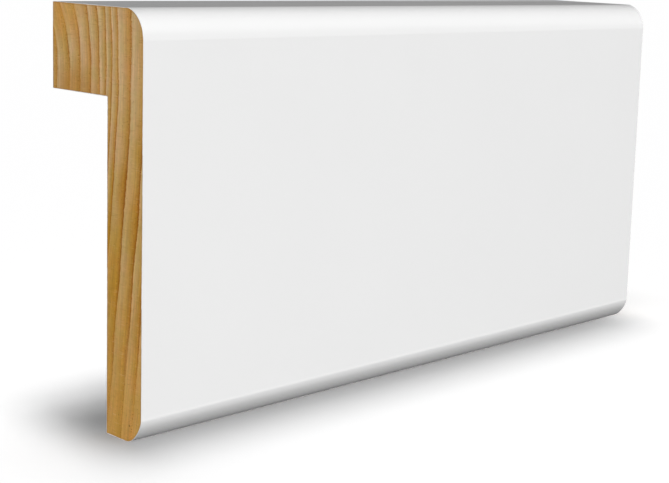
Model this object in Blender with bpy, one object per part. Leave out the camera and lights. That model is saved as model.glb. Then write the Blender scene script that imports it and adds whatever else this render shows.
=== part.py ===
"""A short length of rebated door casing, one piece of softwood moulding painted white.

The moulding lies as it does over a doorway. X runs along it, +Y points to the wall behind
it and +Z points up. The origin is on the wall, in the middle of the lip's back face.
Its section is an L upside down: a tall thin leg that covers the edge of the door frame,
with a thick lip along the top that reaches back to the wall. The space behind the leg and
under the lip is the rebate. All lengths are in metres.
"""

import math

import bpy

# Driving dimensions
LENGTH = 0.1705
FACE_HEIGHT = 0.089
DEPTH = 0.0315
LEG_THICKNESS = 0.012
LIP_THICKNESS = 0.0182
LIP_ROUND = 0.00635
FOOT_ROUND = 0.0057

# Steps in each quarter round of the section
ARC_STEPS = 16

# Where the section's faces lie, from the wall to the front and from the top to the foot
WALL = 0.0
FRONT = WALL - DEPTH
LEG_BACK = FRONT + LEG_THICKNESS
TOP = LIP_THICKNESS / 2
LIP_UNDERSIDE = TOP - LIP_THICKNESS
FOOT = TOP - FACE_HEIGHT

# The coat of white paint, as a colour in linear light
PAINT_COLOUR = (0.83, 0.83, 0.82, 1.0)
PAINT_ROUGHNESS = 0.45


def clear_scene():
    """Remove whatever the file opened with."""
    for thing in list(bpy.data.objects):
        bpy.data.objects.remove(thing, do_unlink=True)


def new_collection(name):
    """A collection of that name, in the scene."""
    group = bpy.data.collections.new(name)
    bpy.context.scene.collection.children.link(group)
    return group


def painted_softwood():
    """Softwood under a satin coat of white paint."""
    material = bpy.data.materials.new("painted_softwood")
    material.use_nodes = True
    shader = material.node_tree.nodes["Principled BSDF"]
    shader.inputs["Base Color"].default_value = PAINT_COLOUR
    shader.inputs["Roughness"].default_value = PAINT_ROUGHNESS
    shader.inputs["Metallic"].default_value = 0.0
    return material


def quarter_round(centre, radius, start):
    """Points of a quarter circle about centre, turning clockwise from the angle start."""
    angles = [start - math.pi / 2 * step / ARC_STEPS for step in range(ARC_STEPS + 1)]
    return [(centre[0] + radius * math.cos(a), centre[1] + radius * math.sin(a)) for a in angles]


def casing_section():
    """The L-shaped section as (depth, height) points, clockwise from the leg's lower back corner."""
    foot_arc = quarter_round((FRONT + FOOT_ROUND, FOOT + FOOT_ROUND), FOOT_ROUND, -math.pi / 2)
    lip_arc = quarter_round((FRONT + LIP_ROUND, TOP - LIP_ROUND), LIP_ROUND, math.pi)
    return [
        (LEG_BACK, FOOT),
        *foot_arc,
        *lip_arc,
        (WALL, TOP),
        (WALL, LIP_UNDERSIDE),
        (LEG_BACK, LIP_UNDERSIDE),
    ]


def add_casing(group):
    """The moulding: its section, filled and drawn out along X between two square sawn ends."""
    section = casing_section()
    outline = bpy.data.curves.new("casing", "CURVE")
    outline.dimensions = "2D"
    outline.fill_mode = "BOTH"
    outline.extrude = LENGTH / 2
    spline = outline.splines.new("POLY")
    spline.points.add(len(section) - 1)
    for point, (depth, height) in zip(spline.points, section):
        point.co = (depth, height, 0.0, 1.0)
    spline.use_cyclic_u = True
    outline.materials.append(painted_softwood())
    casing = bpy.data.objects.new("casing", outline)
    # Stands the section upright and turns the direction it is drawn out in to X
    casing.rotation_euler = (math.pi / 2, 0.0, math.pi / 2)
    group.objects.link(casing)
    return casing


clear_scene()
add_casing(new_collection("door_casing"))
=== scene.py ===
"""The looks of a short length of rebated door casing: white satin paint over sawn softwood.

The frame gives the moulding's box in metres. X runs along the moulding, +Y points to the wall
and +Z points up. The moulding stands on the lower edge of its leg, as it was photographed.
"""

import math

import bpy
import numpy as np
from mathutils import Matrix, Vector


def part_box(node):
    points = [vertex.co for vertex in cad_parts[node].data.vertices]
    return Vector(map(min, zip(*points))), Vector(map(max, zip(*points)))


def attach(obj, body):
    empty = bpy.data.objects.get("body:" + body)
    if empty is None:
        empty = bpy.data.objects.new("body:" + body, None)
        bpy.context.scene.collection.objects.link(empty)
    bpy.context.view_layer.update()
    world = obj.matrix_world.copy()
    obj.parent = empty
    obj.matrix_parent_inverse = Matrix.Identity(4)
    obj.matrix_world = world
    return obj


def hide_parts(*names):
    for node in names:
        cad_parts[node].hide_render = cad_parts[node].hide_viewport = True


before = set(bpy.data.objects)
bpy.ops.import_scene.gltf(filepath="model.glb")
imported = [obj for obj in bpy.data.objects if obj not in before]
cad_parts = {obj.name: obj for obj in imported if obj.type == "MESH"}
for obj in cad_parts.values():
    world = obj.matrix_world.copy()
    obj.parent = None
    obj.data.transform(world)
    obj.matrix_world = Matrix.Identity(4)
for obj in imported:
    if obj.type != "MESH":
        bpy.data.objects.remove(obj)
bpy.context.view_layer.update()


# The camera looks at the sawn left end and the front face from a little above the floor.
# Its place and its long lens were worked out from the corners and edges in the photograph.

PICTURE_WIDTH = 669
PICTURE_HEIGHT = 483
FOCAL_PIXELS = 1470.2
CENTRE_COLUMN = 389.94
CENTRE_ROW = 190.62
SENSOR_WIDTH = 36.0
CAMERA_PLACE = (-0.259079, -0.265424, 0.022147)
CAMERA_RIGHT = (0.6945, -0.7187, 0.0336)
CAMERA_FORWARD = (0.7134, 0.6818, -0.1620)


def add_camera():
    """The camera, from where it stands and the two directions that fix how it is turned."""
    forward = np.array(CAMERA_FORWARD) / np.linalg.norm(CAMERA_FORWARD)
    right = np.array(CAMERA_RIGHT) - forward * np.dot(CAMERA_RIGHT, forward)
    right /= np.linalg.norm(right)
    up = np.cross(right, forward)
    turned = [[right[i], up[i], -forward[i], CAMERA_PLACE[i]] for i in range(3)]
    lens = bpy.data.cameras.new("camera")
    lens.sensor_width = SENSOR_WIDTH
    lens.lens = FOCAL_PIXELS * SENSOR_WIDTH / PICTURE_WIDTH
    lens.shift_x = (PICTURE_WIDTH / 2 - CENTRE_COLUMN) / PICTURE_WIDTH
    lens.shift_y = (CENTRE_ROW - PICTURE_HEIGHT / 2) / PICTURE_WIDTH
    lens.clip_start = 0.01
    lens.clip_end = 50.0
    camera = bpy.data.objects.new("camera", lens)
    camera.matrix_world = Matrix(turned + [[0, 0, 0, 1]])
    bpy.context.scene.collection.objects.link(camera)
    bpy.context.scene.camera = camera


add_camera()


# The moulding is one piece of softwood, planed and rounded over by machine along its length,
# then painted all round and cut to length with a fine saw. Both sawn ends stay bare, so they
# show the growth rings, and each machined arris is eased a little under its paint.

LOWEST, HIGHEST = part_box("casing")
LEFT_END, FRONT, FOOT = LOWEST
RIGHT_END, WALL, TOP = HIGHEST
LEG_THICKNESS = 0.012
LIP_THICKNESS = 0.0182
LEG_BACK = FRONT + LEG_THICKNESS
LIP_UNDERSIDE = TOP - LIP_THICKNESS

# How each rounded corner turns: its distance in metres from the face it runs into, and the
# angle in degrees that it has turned by there. The two large ones leave the face with a crease.
LIP_TURNS = ((0.00625, 4), (0.0049, 8), (0.0038, 24), (0.0, 78))
FOOT_TURNS = ((0.00545, 9), (0.0037, 27.5), (0.00135, 44), (0.0, 90))
ARRIS_TURNS = ((0.00015, 0), (0.0, 90))
LIP_ROUND = LIP_TURNS[0][0]
FOOT_ROUND = FOOT_TURNS[0][0]
ARRIS_EASE = ARRIS_TURNS[0][0]

# The fine ridge that the knives leave where the flat face runs into the lower rounding
RIDGE_HEIGHT = 0.000028
RIDGE_WIDTH = 0.00035
RIDGE_STEP = 0.00006

# The bevel of the sawn edges, and how finely the mesh is divided: steps in a rounding and in an
# eased arris, and the size of a cell on the ends and along the moulding
SAWN_BEVEL = 0.00005
ROUND_STEPS = 22
EASE_STEPS = 5
GRAIN_STEP = 0.00034
LENGTH_STEP = 0.0031

# Growth rings: where each year's dark edge lies at the height where the rings stand upright,
# in millimetres from the wall face, and how the rings bend away above and below that height
RING_EDGES_MM = (-2.0, 1.95, 6.45, 10.4, 14.0, 17.15, 19.4, 21.3, 23.4, 27.75, 32.5, 36.1, 42.0)
RING_CREST_MM = 75.0
RING_CURL = 0.0215
RING_CURL_FROM_MM = 4.0
RING_CURL_REACH_MM = 12.0
RING_CURL_SHORT = 0.002
RING_DRIFT_FROM_MM = 67.0
RING_DRIFT = 0.118
RING_DRIFT_SOFTNESS_MM = 8.0

# How far the rings wander along the moulding, as a slow wave and a slope, and waver up its end
RING_WANDER_MM = 0.5
RING_WANDER_LENGTH_MM = 47.0
RING_WANDER_SLOPE = 0.004
RING_WAVE_MM = 0.1
RING_WAVE_LENGTH_MM = 5.3
RING_WAVE_LEAN = 0.7
RING_RIPPLE_MM = 0.06
RING_RIPPLE_LENGTH_MM = 2.1
MILLIMETRES = 1000.0


def rounded_in(height, turns):
    """How far a rounded corner draws back at a height from the face it runs into.

    Between two of its turns the corner is one arc. The arc's radius is the height between them
    over the change in the sine of the angle, and it draws back by its radius times the change
    in the cosine.
    """
    draw = np.zeros_like(height)
    for (high, start), (low, stop) in zip(turns, turns[1:]):
        start, stop = math.radians(start), math.radians(stop)
        radius = (high - low) / (math.sin(stop) - math.sin(start))
        sine = math.sin(start) + (high - np.clip(height, low, high)) / radius
        draw += radius * (math.cos(start) - np.sqrt(np.maximum(1.0 - sine**2, 0.0)))
    return draw


def quarter_steps(radius, steps):
    """Heights over a quarter round, closest together where it turns flat: radius x (1 - cosine)."""
    return radius * (1.0 - np.cos(np.linspace(0.0, math.pi / 2, steps + 1)))


def even_steps(start, stop, step):
    """Evenly spaced values from start to stop, both included, about one step apart."""
    return np.linspace(start, stop, max(2, round(abs(stop - start) / step) + 1))


def section_grid():
    """Two grids of (depth, height) points that fill the L-shaped section: the leg and the lip.

    A row lies at one height and a column runs at one share of the way from the front outline
    to the back outline. The leg's highest row is the front part of the lip's lowest row.
    """
    ridge_top = FOOT + FOOT_ROUND + 3 * RIDGE_WIDTH
    leg_heights = np.unique(np.concatenate([
        FOOT + quarter_steps(FOOT_ROUND, ROUND_STEPS),
        even_steps(FOOT + FOOT_ROUND, ridge_top, RIDGE_STEP),
        even_steps(ridge_top, LIP_UNDERSIDE - ARRIS_EASE, GRAIN_STEP),
        LIP_UNDERSIDE - quarter_steps(ARRIS_EASE, EASE_STEPS),
    ]).round(9))
    lip_heights = np.unique(np.concatenate([
        LIP_UNDERSIDE + quarter_steps(ARRIS_EASE, EASE_STEPS),
        even_steps(LIP_UNDERSIDE + ARRIS_EASE, TOP - LIP_ROUND, GRAIN_STEP),
        TOP - quarter_steps(LIP_ROUND, ROUND_STEPS),
    ]).round(9))
    front_share = np.linspace(0.0, 1.0, round(LEG_THICKNESS / GRAIN_STEP) + 1)
    back_share = np.linspace(0.0, 1.0, round((WALL - LEG_BACK) / GRAIN_STEP) + 1)

    above_ridge = np.maximum(leg_heights - FOOT - FOOT_ROUND, 0.0) / RIDGE_WIDTH
    leg_front = (FRONT + rounded_in(leg_heights - FOOT, FOOT_TURNS)
                 + RIDGE_HEIGHT * (1.0 - np.exp(-above_ridge**2)))
    leg_back = (LEG_BACK - rounded_in(leg_heights - FOOT, ARRIS_TURNS)
                + rounded_in(LIP_UNDERSIDE - leg_heights, ARRIS_TURNS))
    leg = np.stack([
        leg_front[:, None] + (leg_back - leg_front)[:, None] * front_share,
        np.repeat(leg_heights[:, None], len(front_share), axis=1),
    ], axis=-1)

    lip_front = FRONT + RIDGE_HEIGHT + rounded_in(TOP - lip_heights, LIP_TURNS)
    lip_split = np.full_like(lip_heights, LEG_BACK + ARRIS_EASE)
    lip_back = (WALL - rounded_in(lip_heights - LIP_UNDERSIDE, ARRIS_TURNS)
                - rounded_in(TOP - lip_heights, ARRIS_TURNS))
    lip_depths = np.concatenate([
        lip_front[:, None] + (lip_split - lip_front)[:, None] * front_share,
        lip_split[:, None] + (lip_back - lip_split)[:, None] * back_share[1:],
    ], axis=1)
    lip = np.stack([
        lip_depths,
        np.repeat(lip_heights[:, None], lip_depths.shape[1], axis=1),
    ], axis=-1)
    return leg, lip


def ring_place(points):
    """Where the ring through each (x, y, z) point stands upright, in millimetres from the wall.

    The rings stand upright at the crest height. Below it they drift to the wall in a straight
    slope that starts softly, and above it they curl to the wall as the square of the height,
    most of all near the wall. Along the moulding the whole pattern wanders by a fraction of a
    ring, and two small waves make each ring a little uneven.
    """
    along, depth, height = (points * MILLIMETRES).T
    from_wall = WALL * MILLIMETRES - depth
    above_foot = height - FOOT * MILLIMETRES
    below = RING_DRIFT_FROM_MM - above_foot
    drift = RING_DRIFT * (below + np.hypot(below, RING_DRIFT_SOFTNESS_MM)) / 2
    fading = (RING_CURL_FROM_MM - np.maximum(from_wall, RING_CURL_FROM_MM)) / RING_CURL_REACH_MM
    curl = np.maximum(RING_CURL * np.exp(fading) - RING_CURL_SHORT, 0.0)
    curl = curl * np.maximum(above_foot - RING_CREST_MM, 0.0) ** 2
    past_near_end = along - LEFT_END * MILLIMETRES
    wander = (RING_WANDER_MM * np.sin(past_near_end / RING_WANDER_LENGTH_MM)
              + RING_WANDER_SLOPE * past_near_end)
    waver = (RING_WAVE_MM * np.sin(above_foot / RING_WAVE_LENGTH_MM + from_wall * RING_WAVE_LEAN)
             + RING_RIPPLE_MM * np.sin(above_foot / RING_RIPPLE_LENGTH_MM - from_wall))
    return from_wall + drift + curl + wander + waver


def growth_years(upright):
    """The year of growth at a ring's upright place: whole numbers are the dark ring edges."""
    return np.interp(upright, RING_EDGES_MM, np.arange(len(RING_EDGES_MM)))


# The sawn end's relief in metres: how much lower the soft early part of each year lies, the
# wave that the saw leaves, and the roughness of the cut fibres
EARLYWOOD_HOLLOW = 0.000035
LATEWOOD_FROM = 0.85
HARDENS_OVER = 0.5
SAW_WAVE_HOLLOW = 0.000012
SAW_WAVE_LENGTH = 0.0021
SAW_WAVE_LEAN = 0.35
ROUGH_HOLLOW = 0.00003
ROUGH_TALL = 0.0005
ROUGH_DEEP = 0.0009
LATTICE_SIDE = 64


def smooth_random(rows, columns, row_step, column_step, seed):
    """A field of seeded random values on a coarse lattice, joined by straight-line blending."""
    lattice = np.random.default_rng(seed).random((LATTICE_SIDE, LATTICE_SIDE))
    row = (rows / row_step) % (LATTICE_SIDE - 1)
    column = (columns / column_step) % (LATTICE_SIDE - 1)
    r, c = row.astype(int), column.astype(int)
    past_row, past_column = row - r, column - c
    low = lattice[r, c] * (1 - past_column) + lattice[r, c + 1] * past_column
    high = lattice[r + 1, c] * (1 - past_column) + lattice[r + 1, c + 1] * past_column
    return low * (1 - past_row) + high * past_row


def sawn_hollow(points, seed):
    """How far the sawn end lies below its highest points, in metres.

    It is the sum of three hollows. The first is full in earlywood and fades to nothing where
    the hard latewood starts. The second is a sine wave up the end, which leans a little. The
    third is smooth random roughness.
    """
    part_year = growth_years(ring_place(points)) % 1.0
    softness = np.clip((LATEWOOD_FROM - part_year) / HARDENS_OVER, 0.0, 1.0)
    depth, height = points[:, 1], points[:, 2]
    saw = 0.5 + 0.5 * np.sin((height + SAW_WAVE_LEAN * depth) * 2 * math.pi / SAW_WAVE_LENGTH)
    rough = smooth_random(height, depth, ROUGH_TALL, ROUGH_DEEP, seed)
    return EARLYWOOD_HOLLOW * softness + SAW_WAVE_HOLLOW * saw + ROUGH_HOLLOW * rough


END_SEEDS = ((LEFT_END, 5), (RIGHT_END, 6))
SHARP_FROM = math.radians(30)
POINTS_AT_A_TIME = 300


def cell_corners(index):
    """The four corners of each cell of a grid of vertex numbers, as one row each."""
    corners = [index[:-1, :-1], index[:-1, 1:], index[1:, 1:], index[1:, :-1]]
    return np.stack(corners, axis=-1).reshape(-1, 4)


def distance_to(outline, points):
    """How far each (depth, height) point is from the nearest point of an outline."""
    parts = np.array_split(points, math.ceil(len(points) / POINTS_AT_A_TIME))
    return np.concatenate([
        np.sqrt(((part[:, None] - outline[None]) ** 2).sum(-1)).min(1) for part in parts
    ])


def casing_mesh():
    """The closed skin of the moulding: two filled ends, and the section's outline carried along X.

    The outline is the rim of the section grid, so each end shares its rim with the long faces.
    The last short step to each end draws the outline in by the sawn bevel. It gives the points,
    the faces, which faces are bare wood, each point's distance from the painted outline, the
    outline point whose long line it lies on, and the outline points that are creases.
    """
    leg, lip = section_grid()
    leg_rows, leg_columns = leg.shape[:2]
    lip_rows, lip_columns = lip.shape[:2]
    leg_index = np.arange(leg_rows * leg_columns).reshape(leg_rows, leg_columns)
    lip_index = np.arange(lip_rows * lip_columns).reshape(lip_rows, lip_columns) + leg_index.size
    lip_index[1:] -= leg_columns
    lip_index[0, leg_columns:] -= leg_columns
    lip_index[0, :leg_columns] = leg_index[-1]
    flat = np.concatenate([leg.reshape(-1, 2), lip[0, leg_columns:], lip[1:].reshape(-1, 2)])

    rim = np.concatenate([
        leg_index[:-1, 0], lip_index[:-1, 0], lip_index[-1, :-1], lip_index[:0:-1, -1],
        lip_index[0, :leg_columns - 1:-1], leg_index[:0:-1, -1], leg_index[0, :0:-1],
    ])
    outline = flat[rim]
    across = np.roll(outline, -1, axis=0) - np.roll(outline, 1, axis=0)
    tangent = across / np.linalg.norm(across, axis=1)[:, None]
    inward = np.stack([tangent[:, 1], -tangent[:, 0]], axis=1)

    drawn_in = flat.copy()
    drawn_in[rim] += inward * SAWN_BEVEL
    ends = []
    for place, seed in END_SEEDS:
        end = np.column_stack([np.full(len(flat), place), drawn_in])
        end[:, 0] -= math.copysign(1.0, place) * sawn_hollow(end, seed)
        ends.append(end)
    stations = even_steps(LEFT_END + SAWN_BEVEL, RIGHT_END - SAWN_BEVEL, LENGTH_STEP)
    sides = np.concatenate([np.column_stack([np.full(len(rim), x), outline]) for x in stations])
    points = np.concatenate([*ends, sides])

    cells = np.concatenate([cell_corners(leg_index), cell_corners(lip_index)])
    side_index = 2 * len(flat) + np.arange(len(sides)).reshape(len(stations), len(rim))
    strands = np.concatenate([rim[None], side_index, len(flat) + rim[None]])
    long_faces = cell_corners(np.concatenate([strands, strands[:, :1]], axis=1))
    faces = np.concatenate([cells[:, ::-1], cells + len(flat), long_faces[:, ::-1]])
    bare = np.zeros(len(faces), int)
    bare[:2 * len(cells)] = 1

    from_paint = distance_to(outline, drawn_in)
    from_paint = np.concatenate([from_paint, from_paint, np.zeros(len(sides))])
    strand = np.full(len(points), -1)
    strand[strands] = np.arange(len(rim))
    creases = [(FRONT + RIDGE_HEIGHT, TOP - LIP_ROUND), lip[-1, 0]]
    creased = [int(np.hypot(*(outline - crease).T).argmin()) for crease in creases]
    return points, faces, bare, from_paint, strand, creased


def add_casing():
    """The moulding as one mesh, which stores its growth rings and the distance from the paint.

    The paint's skin runs smoothly round the section, but for corners and for the two creases
    of the upper rounding, whose long edges are marked sharp.
    """
    points, faces, bare, from_paint, strand, creased = casing_mesh()
    mesh = bpy.data.meshes.new("casing_moulding")
    mesh.from_pydata(points.tolist(), [], faces.tolist())
    mesh.polygons.foreach_set("material_index", bare)
    mesh.polygons.foreach_set("use_smooth", np.ones(len(faces), bool))
    mesh.set_sharp_from_angle(angle=SHARP_FROM)
    edge_ends = np.empty(2 * len(mesh.edges), int)
    mesh.edges.foreach_get("vertices", edge_ends)
    first, second = strand[edge_ends.reshape(-1, 2)].T
    sharp = np.empty(len(mesh.edges), bool)
    mesh.attributes["sharp_edge"].data.foreach_get("value", sharp)
    sharp |= (first == second) & np.isin(first, creased)
    mesh.attributes["sharp_edge"].data.foreach_set("value", sharp)
    upright = ring_place(points)
    for name, values in (
        ("growth", growth_years(upright)),
        ("ring_place", upright / MILLIMETRES),
        ("rim", from_paint * MILLIMETRES),
    ):
        mesh.attributes.new(name, "FLOAT", "POINT").data.foreach_set("value", values)
    casing = bpy.data.objects.new("casing_moulding", mesh)
    bpy.context.scene.collection.objects.link(casing)
    return casing


# The wood's colours are named by the 0-255 screen values that they show on the left end. That
# end gets a share of the full light and its dull gloss adds a little white, so a colour has the
# gloss taken off and is then divided by the share.
END_LIGHT = 0.656
END_GLOSS = 0.006


def wood_seen_as(red, green, blue):
    """The wood colour that shows as these screen values, which are first made linear."""
    linear = [((v / 255 + 0.055) / 1.055) ** 2.4 for v in (red, green, blue)]
    return (*[(v - END_GLOSS) / END_LIGHT for v in linear], 1.0)


def add_node(tree, kind, **settings):
    """A node of that kind with its settings filled in."""
    made = tree.nodes.new(kind)
    for name, value in settings.items():
        setattr(made, name, value)
    return made


def feed(tree, socket, value):
    """Give a socket its value, a number or colour set on it or another node's output."""
    if isinstance(value, bpy.types.NodeSocket):
        tree.links.new(value, socket)
    else:
        socket.default_value = value


def maths(tree, operation, *values):
    """The output of a Math node."""
    made = add_node(tree, "ShaderNodeMath", operation=operation)
    for socket, value in zip(made.inputs, values):
        feed(tree, socket, value)
    return made.outputs[0]


def remap(tree, value, low, high, to_low=0.0, to_high=1.0):
    """A value carried from one range to another and held inside it."""
    made = add_node(tree, "ShaderNodeMapRange")
    for name, given in (("Value", value), ("From Min", low), ("From Max", high),
                        ("To Min", to_low), ("To Max", to_high)):
        feed(tree, made.inputs[name], given)
    return made.outputs[0]


def blend_colours(tree, share, first, second, kind="MIX"):
    """Two colours blended by a share."""
    made = add_node(tree, "ShaderNodeMix", data_type="RGBA", blend_type=kind)
    feed(tree, made.inputs[0], share)
    feed(tree, made.inputs[6], first)
    feed(tree, made.inputs[7], second)
    return made.outputs[2]


def noise(tree, place, scale, detail=3.0, roughness=0.5, stretch=(1.0, 1.0, 1.0)):
    """Noise over a place that is first stretched, with the scale in turns per metre."""
    mapping = add_node(tree, "ShaderNodeMapping")
    feed(tree, mapping.inputs["Vector"], place)
    mapping.inputs["Scale"].default_value = stretch
    made = add_node(tree, "ShaderNodeTexNoise")
    feed(tree, made.inputs["Vector"], mapping.outputs[0])
    made.inputs["Scale"].default_value = scale
    made.inputs["Detail"].default_value = detail
    made.inputs["Roughness"].default_value = roughness
    return made.outputs[0]


def ramp(tree, value, *stops):
    """A colour ramp with (place, colour) stops."""
    made = add_node(tree, "ShaderNodeValToRGB")
    feed(tree, made.inputs[0], value)
    points = made.color_ramp.elements
    while len(points) < len(stops):
        points.new(0.5)
    for point, (place, colour) in zip(points, stops):
        point.position = place
        point.color = colour
    return made.outputs[0]


def attribute(tree, name):
    """The value of a named attribute of the mesh."""
    made = add_node(tree, "ShaderNodeAttribute", attribute_name=name)
    return made.outputs["Fac"]


def object_place(tree):
    """The place on the piece in metres, which is also its place in the frame."""
    return add_node(tree, "ShaderNodeTexCoord").outputs["Object"]


def new_material(name):
    """An empty node material and its shader."""
    material = bpy.data.materials.new(name)
    material.use_nodes = True
    return material, material.node_tree, material.node_tree.nodes["Principled BSDF"]


PAINT_THIN = (0.815, 0.815, 0.814, 1.0)
PAINT_FULL = (0.835, 0.835, 0.834, 1.0)
ALONG_THE_GRAIN = (0.04, 1.0, 1.0)


def white_satin_paint():
    """Sprayed white satin paint: nearly even, with a fine skin and the wood's grain just showing."""
    material, tree, shader = new_material("white_satin_paint")
    place = object_place(tree)
    cloud = noise(tree, place, 38.0, detail=2.0)
    colour = blend_colours(tree, cloud, PAINT_THIN, PAINT_FULL)
    feed(tree, shader.inputs["Base Color"], colour)
    skin = noise(tree, place, 900.0, detail=2.0)
    grain = noise(tree, place, 700.0, detail=3.0, stretch=ALONG_THE_GRAIN)
    height = maths(tree, "ADD", maths(tree, "MULTIPLY", skin, 0.4),
                   maths(tree, "MULTIPLY", grain, 0.5))
    bump = add_node(tree, "ShaderNodeBump")
    bump.inputs["Strength"].default_value = 0.15
    bump.inputs["Distance"].default_value = 0.00002
    feed(tree, bump.inputs["Height"], height)
    feed(tree, shader.inputs["Normal"], bump.outputs[0])
    shader.inputs["Roughness"].default_value = 0.3
    shader.inputs["IOR"].default_value = 1.5
    shader.inputs["Coat Weight"].default_value = 0.5
    shader.inputs["Coat Roughness"].default_value = 0.3
    return material


def vector_of(tree, x, y, z):
    """A vector from its three numbers."""
    made = add_node(tree, "ShaderNodeCombineXYZ")
    for socket, value in zip(made.inputs, (x, y, z)):
        feed(tree, socket, value)
    return made.outputs[0]


# Long enough for a patch of colour to run right through the moulding
PATCH_LENGTH = 10000.0


def soft_patch(tree, place, behind_front, above_foot, deep, tall):
    """A soft-edged oval on the sawn end, 1 in the middle and 0 outside, all sizes in millimetres."""
    mapping = add_node(tree, "ShaderNodeMapping", vector_type="TEXTURE")
    feed(tree, mapping.inputs["Vector"], place)
    mapping.inputs["Location"].default_value = (
        0.0, FRONT + behind_front / MILLIMETRES, FOOT + above_foot / MILLIMETRES)
    mapping.inputs["Scale"].default_value = (PATCH_LENGTH, deep / MILLIMETRES, tall / MILLIMETRES)
    length = add_node(tree, "ShaderNodeVectorMath", operation="LENGTH")
    feed(tree, length.inputs[0], mapping.outputs[0])
    return remap(tree, length.outputs["Value"], 1.0, 0.2)


# One year's growth on the end, from its first spring wood at 0 to its dark edge at 1: the pale
# wood of the lip and the golden wood of the leg
PALE_YEAR = (
    (0.0, wood_seen_as(182, 151, 110)), (0.12, wood_seen_as(186, 158, 119)),
    (0.34, wood_seen_as(182, 152, 109)), (0.56, wood_seen_as(179, 145, 96)),
    (0.74, wood_seen_as(176, 138, 83)), (0.88, wood_seen_as(170, 129, 73)),
    (0.94, wood_seen_as(155, 109, 57)), (1.0, wood_seen_as(149, 103, 52)),
)
GOLDEN_YEAR = (
    (0.0, wood_seen_as(176, 142, 91)), (0.12, wood_seen_as(178, 146, 95)),
    (0.34, wood_seen_as(173, 139, 83)), (0.56, wood_seen_as(169, 131, 68)),
    (0.74, wood_seen_as(165, 122, 55)), (0.88, wood_seen_as(155, 108, 43)),
    (0.94, wood_seen_as(134, 86, 32)), (1.0, wood_seen_as(127, 79, 29)),
)
HONEY = wood_seen_as(177, 134, 69)

# Patches of stronger colour on the end: how much, the colour, and the oval in millimetres
# (behind the front, above the foot, half its depth and half its height)
WOOD_PATCHES = (
    (0.75, wood_seen_as(181, 136, 68), (29.5, 85.5, 5.5, 8.0)),
    (0.6, wood_seen_as(184, 138, 76), (24.5, 87.0, 4.0, 6.0)),
    (0.65, wood_seen_as(164, 122, 44), (10.5, 34.0, 3.6, 17.0)),
    (0.22, wood_seen_as(188, 128, 72), (5.0, 82.0, 1.6, 16.0)),
    (0.2, wood_seen_as(188, 120, 60), (3.2, 1.8, 1.6, 1.8)),
    (0.5, wood_seen_as(182, 143, 90), (4.3, 10.0, 1.9, 16.0)),
    (0.7, wood_seen_as(163, 121, 62), (24.0, 72.5, 9.0, 6.5)),
)
REDDISH_TINT = (1.03, 0.98, 0.99, 1.0)
GREENISH_TINT = (0.985, 1.02, 0.94, 1.0)
PALE_RAY = wood_seen_as(206, 175, 128)
DARK_RAY = wood_seen_as(138, 98, 50)
RESIN_BROWN = wood_seen_as(112, 74, 34)
CANAL_BROWN = wood_seen_as(96, 62, 28)
RESIN_CANAL = (4.0, 3.6, 0.28, 0.32)
SOAKED_WOOD = wood_seen_as(150, 108, 60)
PAINT_EDGE = (0.8, 0.79, 0.76, 1.0)


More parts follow.
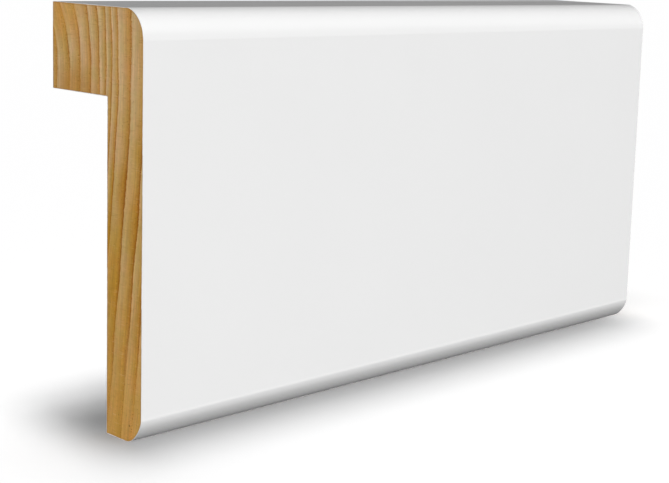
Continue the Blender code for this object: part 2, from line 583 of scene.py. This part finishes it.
def bare_end_grain():
    """Bare softwood cut across, with its growth rings, streaks, faint rays and resin specks.

    Each ring starts pale, deepens to gold and ends in a narrow dark line. The lip's wood is
    pale and the leg's is more golden, with a few stronger golden patches.
    """
    material, tree, shader = new_material("bare_end_grain")
    place = object_place(tree)
    split = add_node(tree, "ShaderNodeSeparateXYZ")
    feed(tree, split.inputs[0], place)
    along, _, height = split.outputs
    growth = attribute(tree, "growth")

    # Noise of the size of the wood's cells makes the rings' edges ragged
    cells = noise(tree, place, 5200.0, detail=2.0, roughness=0.6)
    waver = noise(tree, place, 900.0, detail=2.0)
    ragged = maths(tree, "ADD", remap(tree, cells, 0.3, 0.7, -0.03, 0.03),
                   remap(tree, waver, 0.3, 0.7, -0.012, 0.012))
    years = maths(tree, "ADD", growth, ragged)
    part_year = maths(tree, "FRACT", years)
    pale = ramp(tree, part_year, *PALE_YEAR)
    golden = ramp(tree, part_year, *GOLDEN_YEAR)

    # From the pale lip to the golden leg and its honey-coloured foot, with the patches over them
    patches = noise(tree, place, 130.0, detail=2.0)
    warmth = maths(tree, "ADD", remap(tree, height, TOP - 0.012, FOOT + 0.05, 0.0, 0.9),
                   remap(tree, patches, 0.3, 0.7, -0.3, 0.3))
    colour = blend_colours(tree, remap(tree, warmth, 0.0, 1.0), pale, golden)
    foot = remap(tree, height, FOOT + 0.032, FOOT + 0.007, 0.0, 0.75)
    colour = blend_colours(tree, foot, colour, HONEY)
    for share, tint, oval in WOOD_PATCHES:
        amount = maths(tree, "MULTIPLY", soft_patch(tree, place, *oval), share)
        colour = blend_colours(tree, amount, colour, tint)

    # Clouds of a redder and a greener tint
    hue = noise(tree, place, 240.0, detail=3.0, roughness=0.6)
    hue = remap(tree, hue, 0.38, 0.62)
    tint = blend_colours(tree, hue, REDDISH_TINT, GREENISH_TINT)
    colour = blend_colours(tree, 1.0, colour, tint, kind="MULTIPLY")

    # Fine light and dark streaks that follow the rings, and an even finer mottle
    ring = attribute(tree, "ring_place")
    streaks = noise(tree, vector_of(tree, ring, maths(tree, "MULTIPLY", height, 0.035), along),
                    2600.0, detail=2.0, roughness=0.6)
    mottle = noise(tree, place, 1000.0, detail=3.0, roughness=0.65)
    shade = maths(tree, "ADD", remap(tree, streaks, 0.3, 0.7, -0.12, 0.12),
                  remap(tree, mottle, 0.3, 0.7, 0.95, 1.05))
    colour = blend_colours(tree, 1.0, colour, vector_of(tree, shade, shade, shade), kind="MULTIPLY")

    # Rays run across the rings as short pale and dark dashes
    rays = noise(tree, place, 4200.0, detail=1.0, roughness=0.5, stretch=(1.0, 0.09, 1.0))
    colour = blend_colours(tree, remap(tree, rays, 0.64, 0.74, 0.0, 0.24), colour, PALE_RAY)
    colour = blend_colours(tree, remap(tree, rays, 0.38, 0.28, 0.0, 0.24), colour, DARK_RAY)

    # Resin specks lie mostly in the latewood, and one larger resin canal near the foot
    specks = noise(tree, place, 3600.0, detail=1.0)
    late = remap(tree, part_year, 0.6, 0.95, 0.72, 0.61)
    dark = remap(tree, maths(tree, "SUBTRACT", specks, late), 0.0, 0.04, 0.0, 0.7)
    colour = blend_colours(tree, dark, colour, RESIN_BROWN)
    canal = soft_patch(tree, place, *RESIN_CANAL)
    colour = blend_colours(tree, maths(tree, "MULTIPLY", canal, 0.9), colour, CANAL_BROWN)

    # Beside the paint the wood is a little darker, and the paint's own edge shows as a pale line
    rim = attribute(tree, "rim")
    soaked = remap(tree, rim, 0.5, 0.16, 0.0, 0.5)
    colour = blend_colours(tree, soaked, colour, SOAKED_WOOD)
    paint = remap(tree, rim, 0.15, 0.09)
    colour = blend_colours(tree, paint, colour, PAINT_EDGE)

    feed(tree, shader.inputs["Base Color"], colour)
    bump = add_node(tree, "ShaderNodeBump")
    bump.inputs["Strength"].default_value = 0.5
    bump.inputs["Distance"].default_value = 0.00005
    feed(tree, bump.inputs["Height"], maths(tree, "ADD", cells, maths(tree, "MULTIPLY", rays, 0.5)))
    feed(tree, shader.inputs["Normal"], bump.outputs[0])
    shader.inputs["Roughness"].default_value = 0.75
    shader.inputs["IOR"].default_value = 1.4
    shader.inputs["Specular IOR Level"].default_value = 0.2
    return material


casing = add_casing()
casing.data.materials.append(white_satin_paint())
casing.data.materials.append(bare_end_grain())
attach(casing, "root")
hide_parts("casing")


# The floor is a wide sheet of grey card, level with the lower edge of the leg. It lies under
# lights of its own, which are strong enough to show it white round the moulding's soft shadow.

FLOOR_SIDE = 60.0
CARD_GREY = 0.2


def add_floor():
    """The floor, one large square at the height of the foot."""
    half = FLOOR_SIDE / 2
    corners = [(-half, -half, FOOT), (half, -half, FOOT), (half, half, FOOT), (-half, half, FOOT)]
    mesh = bpy.data.meshes.new("floor")
    mesh.from_pydata(corners, [], [(0, 1, 2, 3)])
    material, _, shader = new_material("grey_card")
    shader.inputs["Base Color"].default_value = (CARD_GREY, CARD_GREY, CARD_GREY, 1.0)
    shader.inputs["Roughness"].default_value = 0.9
    shader.inputs["Specular IOR Level"].default_value = 0.0
    mesh.materials.append(material)
    floor = bpy.data.objects.new("floor", mesh)
    floor.visible_diffuse = False
    floor.visible_glossy = False
    bpy.context.scene.collection.objects.link(floor)
    return floor


floor = add_floor()


# The light comes from large soft sources, some for the moulding and some for the floor. Each
# stands so far off that it lights the whole length alike. The moulding's own light is mostly
# from the front and the left, low down and high up, with weaker light all round.

CARD_INSET = 0.00005
CARD_PAST_END = 0.008
CARD_PAST_BACK = 0.006


def group_of(name, *things):
    """A collection of things, that tells a light what it falls on or what shades it."""
    group = bpy.data.collections.new(name)
    for thing in things:
        group.objects.link(thing)
    return group


def add_card():
    """A flat card held out of sight at the lip's middle height, to throw the floor's shadow.

    It is as large as the moulding seen from above, and reaches a little past the far end and
    the back.
    """
    left, right = LEFT_END + CARD_INSET, RIGHT_END + CARD_PAST_END
    front, back = FRONT + CARD_INSET, WALL + CARD_PAST_BACK
    height = (TOP + LIP_UNDERSIDE) / 2
    outline = ((left, front), (right, front), (right, back), (left, back))
    mesh = bpy.data.meshes.new("shadow_card")
    mesh.from_pydata([(x, y, height) for x, y in outline], [], [(0, 1, 2, 3)])
    card = bpy.data.objects.new("shadow_card", mesh)
    card.visible_camera = False
    card.visible_diffuse = False
    card.visible_glossy = False
    bpy.context.scene.collection.objects.link(card)
    return card


card = add_card()


def add_soft_source(name, left_of_front, above_floor, across, white, falls_on, shaded_by):
    """A far soft source: its direction and apparent width in degrees, and how white it lights.

    The last is the linear brightness, from 0 to 1, of a perfectly white sheet that faces it.
    """
    side = math.radians(left_of_front)
    rise = math.radians(above_floor)
    level = math.cos(rise)
    away = np.array([-math.sin(side) * level, -math.cos(side) * level, math.sin(rise)])
    across_it = np.cross((0.0, 0.0, 1.0), away)
    across_it /= np.linalg.norm(across_it)
    up_it = np.cross(away, across_it)
    turned = [[across_it[i], up_it[i], away[i], away[i]] for i in range(3)]
    lamp = bpy.data.lights.new(name, "SUN")
    lamp.angle = math.radians(across)
    lamp.energy = math.pi * white
    source = bpy.data.objects.new(name, lamp)
    source.matrix_world = Matrix(turned + [[0, 0, 0, 1]])
    source.light_linking.receiver_collection = falls_on
    source.light_linking.blocker_collection = shaded_by
    bpy.context.scene.collection.objects.link(source)
    return source


MOULDING_SOURCE_ACROSS = 24
FLOOR_SOURCE_ACROSS = 12

# The moulding's own light. The two low ones on the left leave no highlight, because from
# behind it would blot out the top.
on_moulding = group_of("lit_moulding", casing)
above_the_floor = group_of("shades_lights", casing, floor)
for name, left_of_front, above_floor, white, leaves_highlight in (
    ("left_high", 30, 46, 0.583, True),
    ("left_low", 30, 4, 0.205, False),
    ("far_left_low", 60, 4, 0.544, False),
    ("front_low", 0, 18, 0.367, True),
    ("right_low", -70, 4, 0.05, True),
):
    source = add_soft_source(name, left_of_front, above_floor, MOULDING_SOURCE_ACROSS, white,
                             on_moulding, above_the_floor)
    source.visible_glossy = leaves_highlight

# The sides that the photograph doesn't show are lit by the pale room and floor around them,
# which are too wide and even to leave a highlight
from_all_round = group_of("shades_fill", casing)
for name, left_of_front, above_floor, white, shaded_by in (
    ("right_fill", -105, 4, 0.3, above_the_floor),
    ("rear_fill", -170, 4, 0.2, above_the_floor),
    ("right_bounce", -112, -14, 0.52, from_all_round),
    ("rear_bounce", -170, -14, 0.6, from_all_round),
):
    source = add_soft_source(name, left_of_front, above_floor, MOULDING_SOURCE_ACROSS, white,
                             on_moulding, shaded_by)
    source.visible_glossy = False

# The floor's light comes from nearly overhead, so its shadow stays close to the foot
on_floor = group_of("lit_floor", floor)
over_the_floor = group_of("shades_floor", card)
for name, left_of_front, above_floor, white in (
    ("floor_left", 60, 76, 0.107),
    ("floor_front_left", 15, 82, 0.123),
    ("floor_front_right", -30, 86, 0.146),
    ("floor_right", -90, 86, 0.186),
    ("floor_high_right_rear", -135, 82, 0.258),
    ("floor_right_rear", -135, 79, 0.111),
    ("floor_low_right_rear", -135, 70, 0.069),
):
    add_soft_source(name, left_of_front, above_floor, FLOOR_SOURCE_ACROSS, white / CARD_GREY,
                    on_floor, over_the_floor)

ROOM_GREY = 0.05


def add_room():
    """A dim grey room for the light, seen as plain white behind the floor's far edge."""
    world = bpy.data.worlds.new("room")
    world.use_nodes = True
    tree = world.node_tree
    background = tree.nodes["Background"]
    background.inputs["Color"].default_value = (1.0, 1.0, 1.0, 1.0)
    seen = add_node(tree, "ShaderNodeLightPath").outputs["Is Camera Ray"]
    feed(tree, background.inputs["Strength"], remap(tree, seen, 0.0, 1.0, ROOM_GREY, 1.0))
    bpy.context.scene.world = world


add_room()

view = bpy.context.scene.view_settings
view.view_transform = "Standard"
view.look = "None"
view.exposure = 0.0
view.gamma = 1.0
